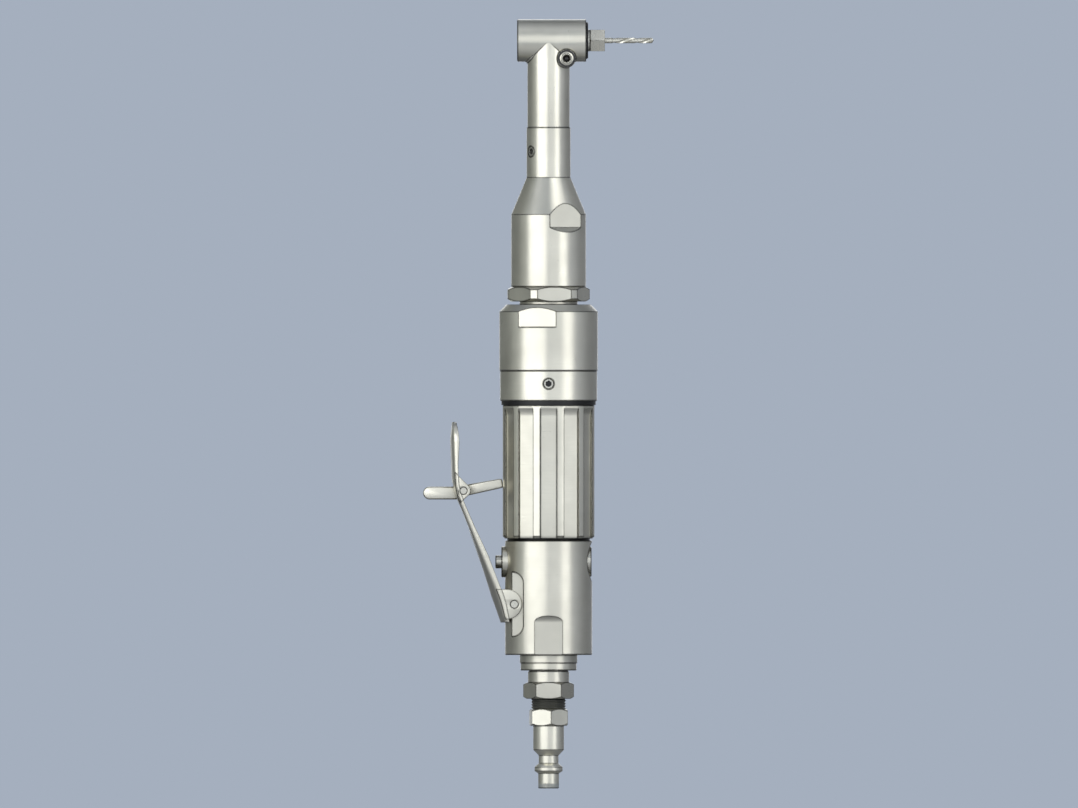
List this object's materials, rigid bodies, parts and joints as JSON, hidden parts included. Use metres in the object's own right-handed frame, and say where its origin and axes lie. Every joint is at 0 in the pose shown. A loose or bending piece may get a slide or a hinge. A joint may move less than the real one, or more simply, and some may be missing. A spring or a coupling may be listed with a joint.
{
  "type": "right-angle air drill",
  "caption": "Right-angle pneumatic drill with fluted straight grip, lever throttle with lock-off latch, gear case, slim angle head, threaded-shank bit and quick-connect air plug.",
  "frame": {"origin": "on the tool axis at the open end of the air plug", "axes": "+Z along the tool axis from the air plug to the angle head, +X from the angle head along the drill bit, -Y towards the viewer of the picture"},
  "size_m": [0.0923, 0.0394, 0.3077],
  "materials": {
    "body_metal": "satin machined, warm light grey",
    "plug_steel": "turned, warm light grey",
    "pin_steel": "ground",
    "lever_steel": "pressed sheet, satin",
    "dark_ring": "black oxide",
    "dark_screw": "black oxide",
    "rubber": "matte",
    "felt": "pressed felt",
    "brass_part": "turned",
    "spring_steel": "drawn wire",
    "inner_iron": "ground",
    "bearing_steel": "polished",
    "gear_steel": "hardened",
    "vane": "laminated phenolic",
    "bit_steel": "ground high speed steel"
  },
  "bodies": {
    "housing_body": {"air_plug": "plug_steel", "inlet_screen": "bearing_steel", "inlet_bushing": "plug_steel", "exhaust_deflector": "body_metal", "muffler": "felt", "throttle_housing": "body_metal", "valve_bushing": "body_metal", "valve_seat": "brass_part", "throttle_spring": "spring_steel", "valve_cap": "pin_steel", "valve_cap_seal": "rubber", "lever_pivot_pin": "pin_steel", "grip_sleeve": "body_metal", "sleeve_ring": "dark_ring", "clamp_ring": "body_metal", "clamp_ring_screw": "dark_screw", "motor_gasket": "rubber", "rear_end_plate": "inner_iron", "rotor_rear_bearing": "bearing_steel", "motor_cylinder": "inner_iron", "front_end_plate": "inner_iron", "rotor_front_bearing": "bearing_steel", "ring_gear": "gear_steel", "carrier_bearing": "bearing_steel", "gear_case": "body_metal", "jam_nut": "body_metal", "angle_adapter": "body_metal", "adapter_screw": "dark_screw", "drive_shaft_rear_bearing": "bearing_steel", "drive_shaft_front_bearing": "bearing_steel", "angle_head": "body_metal", "grease_fitting": "pin_steel", "spindle_rear_bearing": "bearing_steel", "spindle_front_bearing": "bearing_steel", "spindle_retainer": "dark_ring"},
    "rotor_body": {"rotor": "gear_steel", "rotor_vanes": "vane", "sun_gear": "gear_steel"},
    "carrier_body": {"planet_carrier": "gear_steel", "planet_pins": "pin_steel", "drive_shaft": "gear_steel", "bevel_pinion": "gear_steel"},
    "planet_1_body": {"planet_gear_1": "gear_steel"},
    "planet_2_body": {"planet_gear_2": "gear_steel"},
    "planet_3_body": {"planet_gear_3": "gear_steel"},
    "spindle_body": {"spindle": "pin_steel", "bevel_gear": "gear_steel", "drill_bit": "bit_steel"},
    "lever_body": {"throttle_lever": "lever_steel", "latch_pin": "pin_steel", "latch_spring": "spring_steel"},
    "latch_body": {"safety_latch": "lever_steel"},
    "valve_body": {"throttle_valve": "pin_steel", "valve_face_seal": "rubber"}
  },
  "joints": [
    {"name": "rotor_spin", "type": "hinge", "parent": "housing_body", "child": "rotor_body", "pos_m": [0, 0, 0.13], "axis": [0, 0, 1], "continuous": true},
    {"name": "carrier_spin", "type": "hinge", "parent": "housing_body", "child": "carrier_body", "pos_m": [0, 0, 0.18], "axis": [0, 0, 1], "continuous": true},
    {"name": "planet_1_spin", "type": "hinge", "parent": "carrier_body", "child": "planet_1_body", "pos_m": [0, 0.0096, 0.1723], "axis": [0, 0, 1], "continuous": true},
    {"name": "planet_2_spin", "type": "hinge", "parent": "carrier_body", "child": "planet_2_body", "pos_m": [-0.00831, -0.0048, 0.1723], "axis": [0, 0, 1], "continuous": true},
    {"name": "planet_3_spin", "type": "hinge", "parent": "carrier_body", "child": "planet_3_body", "pos_m": [0.00831, -0.0048, 0.1723], "axis": [0, 0, 1], "continuous": true},
    {"name": "spindle_spin", "type": "hinge", "parent": "housing_body", "child": "spindle_body", "pos_m": [0, 0, 0.2992], "axis": [1, 0, 0], "continuous": true},
    {"name": "throttle_lever_press", "type": "hinge", "parent": "housing_body", "child": "lever_body", "pos_m": [-0.0137, 0, 0.0737], "axis": [0, 1, 0], "range_deg": [0, 11.5], "stiffness_Nm_per_rad": 0.35, "springref_deg": -5.73},
    {"name": "safety_latch_fold", "type": "hinge", "parent": "lever_body", "child": "latch_body", "pos_m": [-0.034, 0, 0.1191], "axis": [0, 1, 0], "range_deg": [-86, 0], "deforming": ["latch_spring"]},
    {"name": "throttle_valve_slide", "type": "slide", "parent": "housing_body", "child": "valve_body", "axis": [1, 0, 0], "range_m": [0, 0.0015], "deforming": ["throttle_spring"]}
  ],
  "couplings": [
    {"joint": "carrier_spin", "follows": "rotor_spin", "ratio": 0.25},
    {"joint": "planet_1_spin", "follows": "rotor_spin", "ratio": -0.75},
    {"joint": "planet_2_spin", "follows": "rotor_spin", "ratio": -0.75},
    {"joint": "planet_3_spin", "follows": "rotor_spin", "ratio": -0.75},
    {"joint": "spindle_spin", "follows": "rotor_spin", "ratio": -0.25},
    {"joint": "safety_latch_fold", "follows": "throttle_lever_press", "ratio": -7.4},
    {"joint": "throttle_valve_slide", "follows": "throttle_lever_press", "m_per_rad": 0.007}
  ]
}
